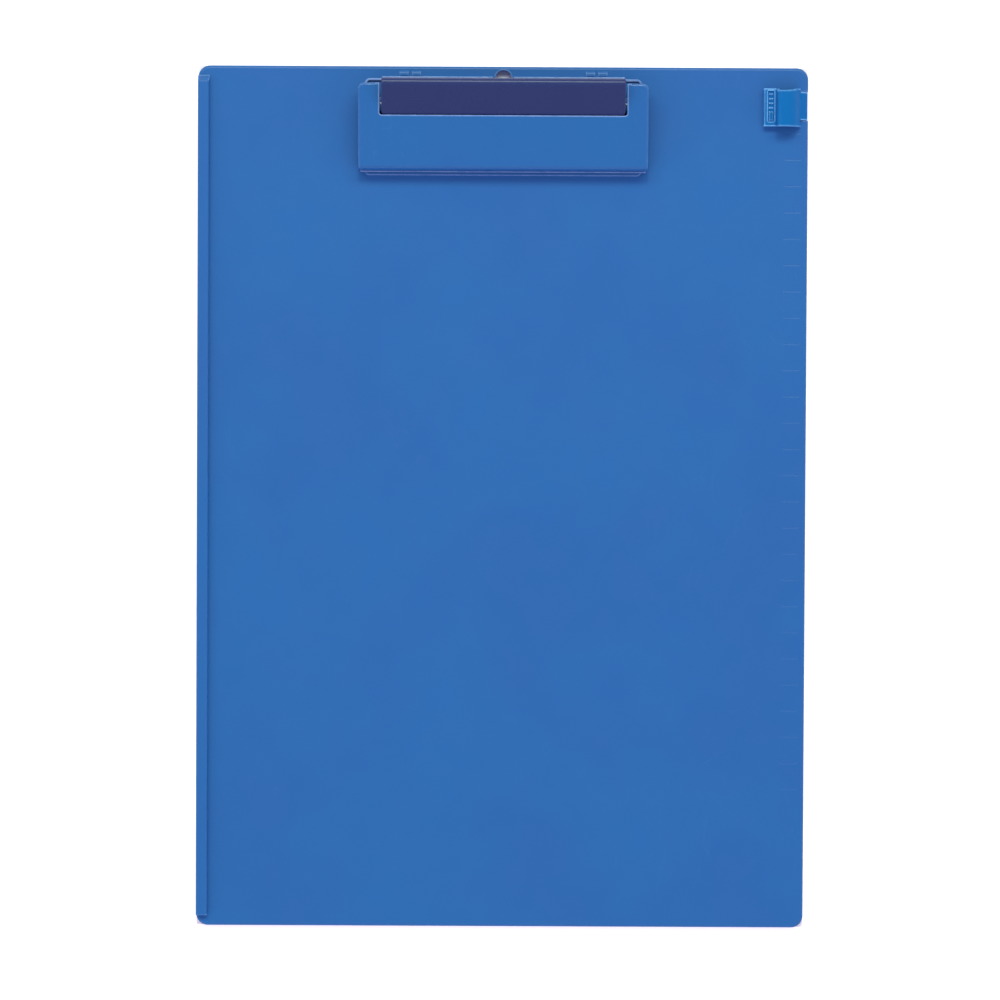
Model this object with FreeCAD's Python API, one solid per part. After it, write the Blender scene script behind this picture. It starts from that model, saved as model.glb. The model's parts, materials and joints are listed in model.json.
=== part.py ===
# A4 clipboard: a moulded board with a paper guide and a scale, a spring clip, and a pen holder.
# Units are millimetres. The board lies on its back: +X to its right, +Y to its top edge, +Z out of its face.
# The origin is the middle of the board, in the plane that its back lies on.
import FreeCAD, Part
import math
import os

# Board, a moulded plate with a shallow panel in its back
board_width = 232.0
board_length = 328.0
board_thickness = 3.0
board_corner_radius = 4.5
board_front_edge_radius = 1.1
board_back_edge_radius = 0.5
back_rim_width = 6.0
back_panel_depth = 0.8

# Paper guide, the raised strip along the left edge
guide_width = 4.35
guide_height = 2.6
guide_top_inset = 3.7
guide_low_inset = 4.1
guide_ramp_length = 2.3
guide_toe_length = 0.5
guide_toe_height = 0.25
guide_toe_rise = 0.17
guide_top_radius = 0.9
guide_low_end_radius = 0.4

# Scale, one scored line a centimetre along the right edge, with a steep side and a flat side
mark_pitch = 10.0
mark_length = 6.1
mark_width = 0.75
mark_depth = 0.07
mark_steep_share = 0.35
mark_edge_inset = 2.8
first_mark_from_top = 24.92
last_mark_from_bottom = 45.0

# Hanging hole with its raised collar
hole_radius = 3.15
hole_from_top = 4.5
collar_width = 0.4
collar_height = 0.3

# Claws, the low round ribs on the board that the clip's base is pushed up against, each with a slot
claw_spacing = 70.8
claw_length = 8.2
claw_slot = 1.4
claw_width = 2.5
claw_height = 0.5
claw_root_depth = 1.3
claw_back_radius = 1.6
claw_front_radius = 0.4

# Clip, as the press plate's width and its reach from the pin to the lip
plate_width = 110.0
plate_reach = 24.1
plate_wall = 1.8
plate_slope_deg = 7.0
plate_front_radius = 2.0
plate_edge_radius = 0.9
plate_back_reach = 8.35
plate_corner_radius = 2.4
flange_reach = 0.7
flange_thickness = 0.7
flange_radius = 0.25
ear_width = 8.1
ear_web = 1.6
web_boss_length = 3.0
notch_setback = 3.7
notch_corner_radius = 1.0
open_angle_deg = 20.0

# Hinge pin, with its place below the board's top edge
pin_radius = 1.5
pin_from_top = 15.5
pin_end_inset = 0.2
pin_end_chamfer = 0.3

# Clip base, the plate on the board with the walls that carry the pin
base_front_overlap = 1.9
base_back_from_pin = 11.5
base_thickness = 1.2
base_corner_radius = 2.0
base_edge_radius = 0.35
base_ear_setback = 0.75
base_rim_width = 0.8
base_rim_height = 1.0
base_rim_radius = 0.3
bearing_wall = 1.7
lug_inner_offset = 12.0
lug_thickness = 3.0
paper_depth = 9.4
stop_thickness = 1.2
stop_height = 3.0
stop_side_inset = 4.0

# Finger lever, a slanted blade with a rolled edge
lever_slope_deg = 35.0
lever_thickness = 2.0
lever_length = 12.7
lever_bead_radius = 1.9
lever_tongue_length = 6.5
lever_tongue_thickness = 1.6
lever_corner_radius = 1.0
lever_edge_radius = 0.4
lever_throat_radius = 0.6
knuckle_side_inset = 5.5
knuckle_width = 3.0
knuckle_wall = 1.8

# Torsion springs, a pair of mirrored coils on the pin
wire_radius = 0.6
spring_turn_gap = 0.5
spring_full_turns = 5
spring_base_leg = 7.5

# Grip strip behind the lip
grip_thickness = 2.4
grip_height = 3.4
grip_chamfer = 0.5
lip_rise = 0.4

# Rivets with washers on the board's back
rivet_spacing = 64.0
rivet_shank_radius = 1.5
rivet_head_radius = 3.0
rivet_head_height = 1.1
rivet_tail_radius = 2.4
rivet_tail_height = 0.6
washer_radius = 3.6
washer_thickness = 0.5
counterbore_depth = 1.5

# Retaining rings on the pin
ring_width = 1.4
ring_thickness = 0.6
ring_mouth_share = 0.75

# Pen holder, a bent band hooked round the board's right edge
holder_from_top = 15.15
holder_width = 14.3
holder_root_width = 10.7
holder_root_shift = 0.7
holder_root_depth = 3.0
holder_root_drop = 2.2
holder_root_radius = 1.2
holder_band = 1.2
holder_height = 7.8
holder_arch_width = 9.6
holder_arch_lean_right = 3.4
holder_arch_lean_left = 0.5
holder_arch_radius_right = 6.0
holder_arch_radius_left = 1.6
holder_side_lean_high = 1.0
holder_side_lean_low = 0.4
holder_foot_width = 4.35
holder_foot_height = 2.9
holder_hook_length = 5.6
holder_hook_thickness = 1.0
holder_edge_radius = 0.4
holder_bend_radius = 0.5
holder_flex_room = 0.7
window_left_border = 1.5
window_right_border = 0.4
window_low_border = 1.7
window_high_border = 0.9
window_depth = 0.5
window_rib_count = 4
window_rib_width = 0.7
window_rib_height = 0.35
window_rib_radius = 0.3
window_pad_share = 0.34

# Clearances
pin_clearance = 0.05
seat_gap = 0.05
side_gap = 0.5
lever_side_gap = 0.85
lever_front_gap = 0.2
leg_gap = 0.3
coil_clearance = 0.9
ear_clearance = 0.67
cheek_gap = 0.6
ring_gap = 0.5
jaw_gap = 0.3
holder_gap = 0.2
foot_gap = 0.1
claw_gap = 0.2
grip_end_gap = 3.2
table_gap = 0.3
cut_overrun = 2.0

# Places that follow from the sizes above
half_width = board_width / 2
half_length = board_length / 2
face_z = board_thickness
pin_y = half_length - pin_from_top
coil_radius = pin_radius + coil_clearance + wire_radius
coil_outer_radius = coil_radius + wire_radius
base_top_z = face_z + base_thickness
pin_z = base_top_z + leg_gap + coil_outer_radius
bearing_radius = pin_radius + bearing_wall
bore_radius = pin_radius + pin_clearance

plate_half = plate_width / 2
flange_inner = plate_half - plate_wall
base_half = flange_inner - side_gap
notch_half = plate_half - ear_width
web_outer = notch_half + ear_web
ring_room = ring_thickness + 2 * ring_gap
cheek_inner = web_outer + cheek_gap
cheek_outer = flange_inner - ring_room
plate_front_y = pin_y - plate_reach
plate_back_y = pin_y + plate_back_reach
notch_y = pin_y - notch_setback
plate_slope = math.radians(plate_slope_deg)
plate_inner_distance = bearing_radius + ear_clearance
plate_top_distance = plate_inner_distance + plate_wall
open_angle = math.radians(open_angle_deg)

base_front_y = plate_front_y - base_front_overlap
base_back_y = pin_y + base_back_from_pin
base_ear_back_y = base_back_y - base_ear_setback
grip_half = flange_inner - grip_end_gap
grip_bottom_z = base_top_z + jaw_gap
lip_z = grip_bottom_z + lip_rise
stop_y = plate_front_y + paper_depth

lever_slope = math.radians(lever_slope_deg)
lever_half = notch_half - lever_side_gap
lever_front_y = notch_y + lever_front_gap
lever_under_distance = coil_outer_radius + leg_gap
lever_top_distance = lever_under_distance + lever_thickness

coil_pitch = 2 * wire_radius + spring_turn_gap
hole_y = half_length - hole_from_top
holder_y = half_length - holder_from_top
holder_right = half_width - holder_gap
holder_shoulder_x = holder_right - holder_root_depth + foot_gap
holder_arch_left = holder_shoulder_x - holder_arch_width
holder_root_y = holder_y + holder_root_shift
rivet_rows = (
    (stop_y + stop_thickness + pin_y - coil_outer_radius) / 2,
    (pin_y + pin_radius + knuckle_wall + base_back_y) / 2,
)
rivet_hole_radius = rivet_shank_radius + pin_clearance


def vec(x, y, z):
    return FreeCAD.Vector(x, y, z)


def unit(v):
    return v * (1 / v.Length)


def rounded_wire(points, radii):
    """A closed wire through the points, with each corner rounded by its radius."""
    count = len(points)
    starts = []
    ends = []
    arcs = []
    for i in range(count):
        corner = points[i]
        radius = radii[i]
        if radius == 0:
            starts.append(corner)
            ends.append(corner)
            arcs.append(None)
            continue
        back = unit(points[i - 1] - corner)
        ahead = unit(points[(i + 1) % count] - corner)
        half_angle = back.getAngle(ahead) / 2
        reach = radius / math.tan(half_angle)
        middle = unit(back + ahead)
        centre = corner + middle * (radius / math.sin(half_angle))
        starts.append(corner + back * reach)
        ends.append(corner + ahead * reach)
        arcs.append(Part.Arc(starts[i], centre - middle * radius, ends[i]).toShape())
    edges = []
    for i in range(count):
        if arcs[i] is not None:
            edges.append(arcs[i])
        here = ends[i]
        there = starts[(i + 1) % count]
        if not here.isEqual(there, seat_gap / 1000):
            edges.append(Part.makeLine(here, there))
    return Part.Wire(edges)


def prism(points, radii, direction):
    """A solid swept straight along the direction from a rounded outline."""
    return Part.Face(rounded_wire(points, radii)).extrude(direction)


def prism_x(outline, x0, x1, radii=None):
    """A prism along X from an outline of (y, z) points."""
    points = [vec(x0, y, z) for y, z in outline]
    return prism(points, radii or [0] * len(points), vec(x1 - x0, 0, 0))


def prism_y(outline, y0, y1, radii=None):
    """A prism along Y from an outline of (x, z) points."""
    points = [vec(x, y0, z) for x, z in outline]
    return prism(points, radii or [0] * len(points), vec(0, y1 - y0, 0))


def block(x0, x1, y0, y1, z0, z1):
    return Part.makeBox(x1 - x0, y1 - y0, z1 - z0, vec(x0, y0, z0))


def slab(x_half, y0, y1, z0, z1, radius):
    """A plate centred on X with rounded corners."""
    points = [vec(-x_half, y0, z0), vec(x_half, y0, z0), vec(x_half, y1, z0), vec(-x_half, y1, z0)]
    return prism(points, [radius] * len(points), vec(0, 0, z1 - z0))


def rod_x(x0, x1, radius):
    """A round bar on the pin's axis."""
    return Part.makeCylinder(radius, x1 - x0, vec(x0, pin_y, pin_z), vec(1, 0, 0))


def post_z(x, y, z0, z1, radius):
    return Part.makeCylinder(radius, z1 - z0, vec(x, y, z0), vec(0, 0, 1))


def both_sides(shape):
    """The shape and its mirror image across the middle plane."""
    return [shape, shape.mirror(vec(0, 0, 0), vec(1, 0, 0))]


def fuse(shapes):
    return shapes[0].fuse(shapes[1:]).removeSplitter()


def edges_where(shape, test):
    """The straight or curved edges whose end points and middle all pass the test."""
    found = []
    for edge in shape.Edges:
        middle = edge.valueAt((edge.FirstParameter + edge.LastParameter) / 2)
        points = [v.Point for v in edge.Vertexes] + [middle]
        if all(test(p) for p in points):
            found.append(edge)
    return found


def on(value, target):
    return abs(value - target) < seat_gap / 10


def plate_plane_z(y, distance):
    """Height of a plane that slopes like the press plate, at its distance above the pin."""
    return pin_z + (distance + (y - pin_y) * math.sin(plate_slope)) / math.cos(plate_slope)


def lever_plane_z(y, distance):
    """Height of a plane that slopes like the finger lever, at its distance above the pin."""
    return pin_z + (distance + (y - pin_y) * math.sin(lever_slope)) / math.cos(lever_slope)


def rivet_places():
    return [(side * rivet_spacing / 2, y) for side in (-1, 1) for y in rivet_rows]


def scale_mark_rows():
    """The places of the scale marks along the right edge."""
    run = board_length - first_mark_from_top - last_mark_from_bottom
    count = int(run / mark_pitch) + 1
    return [half_length - first_mark_from_top - i * mark_pitch for i in range(count)]


def scale_marks():
    """The scored lines: the steep side is towards the top edge."""
    x1 = half_width - mark_edge_inset
    marks = []
    for y in scale_mark_rows():
        high_y = y + mark_width / 2
        outline = [
            (y - mark_width / 2, face_z),
            (high_y - mark_width * mark_steep_share, face_z - mark_depth),
            (high_y, face_z),
            (high_y, face_z + cut_overrun),
            (y - mark_width / 2, face_z + cut_overrun),
        ]
        marks.append(prism_x(outline, x1 - mark_length, x1))
    return marks


def paper_guide():
    """The raised strip, with a ramp on a low toe at its top end and an upright lower end."""
    y0 = guide_low_inset - half_length
    y1 = half_length - guide_top_inset
    inside = face_z - (board_front_edge_radius + board_thickness - board_back_edge_radius) / 2
    top = face_z + guide_height
    x1 = -half_width + guide_width
    across = [(-half_width, inside), (x1, inside), (x1, top), (-half_width, top)]
    strip = prism_y(across, y0, y1, [0, 0, guide_top_radius, guide_top_radius])
    toe_z = face_z + guide_toe_height
    along = [
        (y0, inside),
        (y1, inside),
        (y1, toe_z),
        (y1 - guide_toe_length, toe_z + guide_toe_rise),
        (y1 - guide_ramp_length, top),
        (y0, top),
    ]
    radii = [0, 0, 0, 0, guide_top_radius, guide_low_end_radius]
    return strip.common(prism_x(along, -half_width - cut_overrun, x1 + cut_overrun, radii))


def holder_notch():
    """The cut in the board's right edge, and the pocket behind it, that the pen holder hooks into."""
    half = holder_root_width / 2 + holder_gap
    notch_x = holder_right - holder_root_depth - holder_gap
    pocket_x = holder_right - holder_hook_length - holder_gap
    pocket_top = table_gap + holder_hook_thickness + holder_flex_room
    y0 = holder_root_y - half
    y1 = holder_root_y + half
    through = block(notch_x, half_width + cut_overrun, y0, y1, -cut_overrun, face_z + cut_overrun)
    pocket = block(pocket_x, half_width + cut_overrun, y0, y1, -cut_overrun, pocket_top)
    return through.fuse(pocket)


def back_panel():
    """The shallow panel in the board's back, which leaves a rim and the pad that the rivets go through."""
    panel = slab(
        half_width - back_rim_width,
        -half_length + back_rim_width,
        half_length - back_rim_width,
        -cut_overrun,
        back_panel_depth,
        board_corner_radius,
    )
    pad_front = base_front_y - back_rim_width / 2
    return panel.cut(slab(base_half, pad_front, half_length, -2 * cut_overrun, face_z, board_corner_radius))


def board():
    plate = slab(half_width, -half_length, half_length, 0, face_z, board_corner_radius)
    plate = plate.makeFillet(board_front_edge_radius, edges_where(plate, lambda p: on(p.z, face_z)))
    plate = plate.makeFillet(board_back_edge_radius, edges_where(plate, lambda p: on(p.z, 0)))
    added = [plate, paper_guide()]
    added.append(post_z(0, hole_y, face_z - collar_height, face_z + collar_height, hole_radius + collar_width))
    claw_y0 = base_back_y + claw_gap
    claw_outline = [
        (claw_y0, face_z - claw_root_depth),
        (claw_y0 + claw_width, face_z - claw_root_depth),
        (claw_y0 + claw_width, face_z + claw_height),
        (claw_y0, face_z + claw_height),
    ]
    claw_radii = [0, 0, claw_back_radius, claw_front_radius]
    lobe_length = (claw_length - claw_slot) / 2
    for middle in (-claw_spacing / 2, claw_spacing / 2):
        for x0 in (middle - claw_length / 2, middle + claw_slot / 2):
            added.append(prism_x(claw_outline, x0, x0 + lobe_length, claw_radii))
    shape = fuse(added)
    cuts = [back_panel(), holder_notch()] + scale_marks()
    cuts.append(post_z(0, hole_y, -cut_overrun, face_z + cut_overrun, hole_radius))
    for x, y in rivet_places():
        cuts.append(post_z(x, y, -cut_overrun, face_z + cut_overrun, rivet_hole_radius))
        cuts.append(post_z(x, y, -cut_overrun, counterbore_depth, washer_radius + side_gap))
    return shape.cut(cuts)


def bearing(x0, x1):
    """A wall that stands on the clip base and carries the pin, with a round top."""
    outline = [
        (pin_y - bearing_radius, base_top_z - base_thickness / 2),
        (pin_y + bearing_radius, base_top_z - base_thickness / 2),
        (pin_y + bearing_radius, pin_z),
        (pin_y - bearing_radius, pin_z),
    ]
    return prism_x(outline, x0, x1).fuse(rod_x(x0, x1, bearing_radius))


def base_rim():
    """The upturned back edge of the clip base: a long one behind the lever and a short one behind each ear."""
    z0 = base_top_z - base_thickness / 2
    z1 = base_top_z + base_rim_height
    middle = block(-lever_half, lever_half, base_back_y - base_rim_width, base_back_y, z0, z1)
    middle = middle.makeFillet(base_rim_radius, edges_where(middle, lambda p: on(p.z, z1)))
    outer = slab(base_half, pin_y, base_ear_back_y, z0, z1, base_corner_radius)
    outer = outer.makeFillet(base_rim_radius, edges_where(outer, lambda p: on(p.z, z1)))
    inner_radius = base_corner_radius - base_rim_width
    inner = slab(base_half - base_rim_width, 0, base_ear_back_y - base_rim_width, 0, 2 * z1, inner_radius)
    keep = block(lever_half, base_half, plate_back_y, base_ear_back_y, z0, z1)
    return [middle] + both_sides(outer.cut(inner).common(keep))


def clip_base():
    plate = slab(base_half, base_front_y, base_ear_back_y, face_z, base_top_z, base_corner_radius)
    plate = plate.makeFillet(base_edge_radius, edges_where(plate, lambda p: on(p.z, base_top_z)))
    relief = hole_radius + collar_width + side_gap
    stop_half = base_half - stop_side_inset
    added = [plate, block(-lever_half, lever_half, pin_y, base_back_y, face_z, base_top_z)]
    added += base_rim()
    added.append(
        block(
            -stop_half,
            stop_half,
            stop_y,
            stop_y + stop_thickness,
            base_top_z - base_thickness / 2,
            base_top_z + stop_height,
        )
    )
    added += both_sides(bearing(cheek_inner, cheek_outer))
    added += both_sides(bearing(lug_inner_offset, lug_inner_offset + lug_thickness))
    shape = fuse(added)
    cuts = [rod_x(-plate_half, plate_half, bore_radius)]
    cuts.append(post_z(0, hole_y, 0, base_top_z + 2 * base_rim_height, relief))
    for x, y in rivet_places():
        cuts.append(post_z(x, y, 0, base_top_z + cut_overrun, rivet_hole_radius))
    return shape.cut(cuts)


def plate_profile(wall, bottom_z):
    """Side outline of the press plate, or of the hollow inside it when a wall is taken off."""
    distance = plate_top_distance - wall
    front_y = plate_front_y + wall
    back_y = plate_back_y - wall
    outline = [
        (front_y, bottom_z),
        (front_y, plate_plane_z(front_y, distance)),
        (back_y, plate_plane_z(back_y, distance)),
        (back_y, bottom_z + (back_y - pin_y) * math.tan(open_angle)),
        (pin_y, bottom_z),
    ]
    points = [vec(0, y, z) for y, z in outline]
    return Part.Face(rounded_wire(points, [0] * len(points)))


def slice_x(face, x0, x1):
    """A side outline swept between two places across the clip."""
    moved = face.copy()
    moved.translate(vec(x0, 0, 0))
    return moved.extrude(vec(x1 - x0, 0, 0))


def plate_outside():
    """The press plate's outside as a full block, rounded at its brow, its back corners and its edges."""
    shape = slice_x(plate_profile(0, lip_z), -plate_half, plate_half)
    brow_z = plate_plane_z(plate_front_y, plate_top_distance)
    shape = shape.makeFillet(plate_front_radius, edges_where(shape, lambda p: on(p.z, brow_z)))
    corners = edges_where(shape, lambda p: on(abs(p.x), plate_half) and on(p.y, plate_back_y))
    shape = shape.makeFillet(plate_corner_radius, corners)
    underside_z = lip_z + (plate_back_y - pin_y) * math.tan(open_angle)

    def along_rim(p):
        beside = on(abs(p.x), plate_half) and not on(p.z, lip_z)
        behind = p.y > plate_back_y - plate_corner_radius - seat_gap
        return (beside and not behind and p.z > lip_z) or (behind and p.z > underside_z + plate_edge_radius)

    rim = [e for e in edges_where(shape, along_rim) if not on(e.BoundBox.XLength + e.BoundBox.YLength, 0)]
    return shape.makeFillet(plate_edge_radius, rim)


def lip_flange():
    """The low flange along the foot of the press plate's front wall."""
    outline = [
        (plate_front_y - flange_reach, lip_z),
        (plate_front_y + plate_wall / 2, lip_z),
        (plate_front_y + plate_wall / 2, lip_z + flange_thickness),
        (plate_front_y - flange_reach, lip_z + flange_thickness),
    ]
    half = plate_half - plate_edge_radius
    return prism_x(outline, -half, half, [0, 0, 0, flange_radius])


def press_plate():
    outer = plate_outside()
    inner = slice_x(plate_profile(plate_wall, grip_bottom_z), -flange_inner, flange_inner)
    web = slice_x(plate_profile(seat_gap, lip_z), notch_half, web_outer)
    web = web.common(
        block(0, plate_half, notch_y - ear_web, pin_y + 2 * plate_back_reach, 0, pin_z + 2 * plate_back_reach)
    )
    shape = fuse([outer.cut(inner), lip_flange()] + both_sides(web))
    notch = slab(
        notch_half,
        notch_y,
        pin_y + 2 * plate_back_reach,
        0,
        pin_z + 2 * plate_back_reach,
        notch_corner_radius,
    )
    # A boss on each web closes the slot beside the lever where the pin crosses it
    boss = rod_x(notch_half - web_boss_length, web_outer, pin_radius + knuckle_wall)
    shape = fuse([shape.cut(notch)] + both_sides(boss))
    return shape.cut(rod_x(-plate_width, plate_width, bore_radius))


def lever_point(along, depth):
    """A point of the blade's side outline: along its top face from the root, and so deep under it."""
    root_z = lever_plane_z(lever_front_y, lever_top_distance)
    return vec(
        -lever_half,
        lever_front_y + along * math.cos(lever_slope) + depth * math.sin(lever_slope),
        root_z + along * math.sin(lever_slope) - depth * math.cos(lever_slope),
    )


def lever_blade():
    """The slanted blade with its rolled edge, rounded at the corners and along its sides."""
    radius = lever_bead_radius
    reach = math.sqrt(radius ** 2 - (lever_thickness - radius) ** 2)
    toe = vec(-lever_half, lever_front_y, lever_plane_z(lever_front_y, lever_under_distance))
    root = lever_point(0, 0)
    crest = lever_point(lever_length, 0)
    far = lever_point(lever_length + radius * math.sqrt(1 / 2), radius + radius * math.sqrt(1 / 2))
    throat = lever_point(lever_length - reach, lever_thickness)
    edges = [
        Part.makeLine(toe, root),
        Part.makeLine(root, crest),
        Part.Arc(crest, far, throat).toShape(),
        Part.makeLine(throat, toe),
    ]
    blade = Part.Face(Part.Wire(edges)).extrude(vec(2 * lever_half, 0, 0))
    corners = edges_where(blade, lambda p: on(abs(p.x), lever_half) and on(p.y, lever_front_y))
    blade = blade.makeFillet(lever_corner_radius, corners)
    inside = edges_where(blade, lambda p: on(p.y, throat.y) and on(p.z, throat.z))
    blade = blade.makeFillet(lever_throat_radius, inside)
    # The upright edges beside the rounded corners stay as they are
    sides = [e for e in edges_where(blade, lambda p: on(abs(p.x), lever_half)) if not on(e.BoundBox.YLength, 0)]
    return blade.makeFillet(lever_edge_radius, sides)


def lever_tongue():
    """The flat tongue that reaches under the press plate's top wall."""
    top = plate_inner_distance - seat_gap
    under = top - lever_tongue_thickness
    front_y = lever_front_y - lever_tongue_length
    inside_y = lever_front_y + lever_thickness / 2
    sink = lever_under_distance / math.cos(lever_slope) - under / math.cos(plate_slope)
    meet_y = pin_y + sink / (math.tan(plate_slope) - math.tan(lever_slope))
    outline = [
        (front_y, plate_plane_z(front_y, under)),
        (front_y, plate_plane_z(front_y, top)),
        (inside_y, plate_plane_z(inside_y, top)),
        (inside_y, lever_plane_z(inside_y, lever_under_distance)),
        (meet_y, plate_plane_z(meet_y, under)),
    ]
    half = lever_half - 2 * lever_corner_radius
    return prism_x(outline, -half, half)


def lever_knuckle():
    """A web with a round eye on the pin, rooted in the tongue in front and in the blade behind."""
    radius = pin_radius + knuckle_wall
    front = pin_y - radius
    back = pin_y + radius
    front_top = plate_plane_z(front, plate_inner_distance - lever_tongue_thickness / 2)
    back_top = lever_plane_z(back, lever_under_distance + lever_thickness / 2)
    web = [(front, pin_z), (back, pin_z), (back, back_top), (front, front_top)]
    x1 = lever_half - knuckle_side_inset
    x0 = x1 - knuckle_width
    return prism_x(web, x0, x1).fuse(rod_x(x0, x1, radius))


def finger_lever():
    shape = fuse([lever_blade(), lever_tongue()] + both_sides(lever_knuckle()))
    return shape.cut(rod_x(-plate_half, plate_half, bore_radius))


def hinge_pin():
    pin = rod_x(-plate_half + pin_end_inset, plate_half - pin_end_inset, pin_radius)
    return pin.makeChamfer(pin_end_chamfer, [e for e in pin.Edges if e.Closed])


def arc_from(start, heading, end):
    """The arc that leaves its start along the heading and ends at the end point."""
    chord = end - start
    along = unit(chord)
    aside = unit(heading - along * heading.dot(along))
    turn = heading.getAngle(chord)
    middle = (start + end) * (1 / 2) + aside * (chord.Length / 2 * math.tan(turn / 2))
    return Part.Arc(start, middle, end).toShape()


def biarc(p0, t0, p1, t1):
    """Two arcs that join two points and keep both headings."""
    gap = p1 - p0
    both = t0 + t1
    spread = 2 * (1 - t0.dot(t1))
    reach = (-gap.dot(both) + math.sqrt(gap.dot(both) ** 2 + spread * gap.dot(gap))) / spread
    joint = (p0 + p1 + (t0 - t1) * reach) * (1 / 2)
    heading = unit(p1 - t1 * reach - (p0 + t0 * reach))
    return [arc_from(p0, t0, joint), arc_from(joint, heading, p1)]


def coil_turn():
    """How far the coil winds, from the leg on the base round to the leg under the lever."""
    return 2 * math.pi * spring_full_turns - (math.radians(180) + lever_slope)


def coil_point(x0, angle):
    """A point on the coil's centre line, and its heading, after winding by the angle."""
    around = -math.pi / 2 - angle
    rise = coil_pitch / (2 * math.pi)
    point = vec(
        x0 + rise * angle,
        pin_y + coil_radius * math.cos(around),
        pin_z + coil_radius * math.sin(around),
    )
    heading = vec(rise, coil_radius * math.sin(around), -coil_radius * math.cos(around))
    return point, unit(heading)


def spring_path(x0):
    turn = coil_turn()
    steps = math.ceil(turn / (math.pi / 2))
    knots = [coil_point(x0, turn * i / steps) for i in range(steps + 1)]
    foot, foot_heading = knots[0]
    head, head_heading = knots[-1]
    bead_start = lever_length - lever_bead_radius - leg_gap
    lever_leg = bead_start - (pin_y - lever_front_y) * math.cos(lever_slope)
    edges = [Part.makeLine(foot - foot_heading * spring_base_leg, foot)]
    for (p0, t0), (p1, t1) in zip(knots, knots[1:]):
        edges += biarc(p0, t0, p1, t1)
    edges.append(Part.makeLine(head, head + head_heading * lever_leg))
    return Part.Wire(edges)


def least_coil_gap(x0):
    """The least free gap between one turn of the coil and the next, measured on points."""
    per_turn = 48
    turn = coil_turn()
    count = int(turn / (2 * math.pi) * per_turn)
    points = [coil_point(x0, turn * i / count)[0] for i in range(count + 1)]
    least = min(
        (points[i] - points[j]).Length
        for i in range(len(points))
        for j in range(i + per_turn // 2, len(points))
    )
    return least - 2 * wire_radius


def torsion_spring():
    x0 = lug_inner_offset + lug_thickness + side_gap + wire_radius
    path = spring_path(x0)
    start = path.Edges[0].valueAt(path.Edges[0].FirstParameter)
    heading = path.Edges[0].tangentAt(path.Edges[0].FirstParameter)
    section = Part.Wire(Part.makeCircle(wire_radius, start, heading))
    print("least gap between the spring's turns:", round(least_coil_gap(x0), 3))
    return path.makePipeShell([section], True, False)


def pin_clips():
    """Two retaining rings on the pin, each against the outside of its bearing wall."""
    x0 = cheek_outer + seat_gap
    x1 = x0 + ring_thickness
    ring = rod_x(x0, x1, bore_radius + ring_width).cut(rod_x(x0, x1, bore_radius))
    mouth = bore_radius * ring_mouth_share
    opening = block(x0, x1, pin_y - mouth, pin_y + mouth, pin_z, pin_z + 2 * (bore_radius + ring_width))
    return Part.makeCompound(both_sides(ring.cut(opening)))


def grip_strip():
    y0 = plate_front_y + plate_wall + seat_gap
    outline = [
        (y0, grip_bottom_z),
        (y0 + grip_thickness, grip_bottom_z),
        (y0 + grip_thickness, grip_bottom_z + grip_height),
        (y0, grip_bottom_z + grip_height),
    ]
    strip = prism_x(outline, -grip_half, grip_half)
    back = y0 + grip_thickness
    return strip.makeChamfer(grip_chamfer, edges_where(strip, lambda p: on(p.y, back) and on(p.z, grip_bottom_z)))


def base_rivets():
    """Rivets with domed heads on the clip base and clinched ends over the washers."""
    rivets = []
    head_z = base_top_z + seat_gap
    tail_z = counterbore_depth - 2 * seat_gap - washer_thickness
    dome_radius = (rivet_head_radius ** 2 + rivet_head_height ** 2) / (2 * rivet_head_height)
    for x, y in rivet_places():
        dome = Part.makeSphere(dome_radius, vec(x, y, head_z + rivet_head_height - dome_radius))
        above = block(
            x - dome_radius, x + dome_radius, y - dome_radius, y + dome_radius, head_z, head_z + 2 * dome_radius
        )
        head = dome.common(above)
        shank = post_z(x, y, tail_z - rivet_tail_height / 2, head_z + rivet_head_height / 2, rivet_shank_radius)
        tail = Part.makeCone(
            rivet_shank_radius, rivet_tail_radius, rivet_tail_height, vec(x, y, tail_z - rivet_tail_height), vec(0, 0, 1)
        )
        rivets.append(fuse([head, shank, tail]))
    return Part.makeCompound(rivets)


def rivet_washers():
    z1 = counterbore_depth - seat_gap
    z0 = z1 - washer_thickness
    washers = []
    for x, y in rivet_places():
        washers.append(post_z(x, y, z0, z1, washer_radius).cut(post_z(x, y, 0, face_z, rivet_hole_radius)))
    return Part.makeCompound(washers)


def offset_path(points, distance):
    """An open path moved to its left by the distance, with its corners kept."""
    moved = []
    count = len(points)
    for i in range(count):
        before = unit(points[i] - points[i - 1]) if i > 0 else None
        after = unit(points[i + 1] - points[i]) if i < count - 1 else None
        before = before or after
        after = after or before
        left_before = vec(-before.z, 0, before.x)
        left_after = vec(-after.z, 0, after.x)
        lean = unit(left_before + left_after)
        moved.append(points[i] + lean * (distance / lean.dot(left_before)))
    return moved


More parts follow.
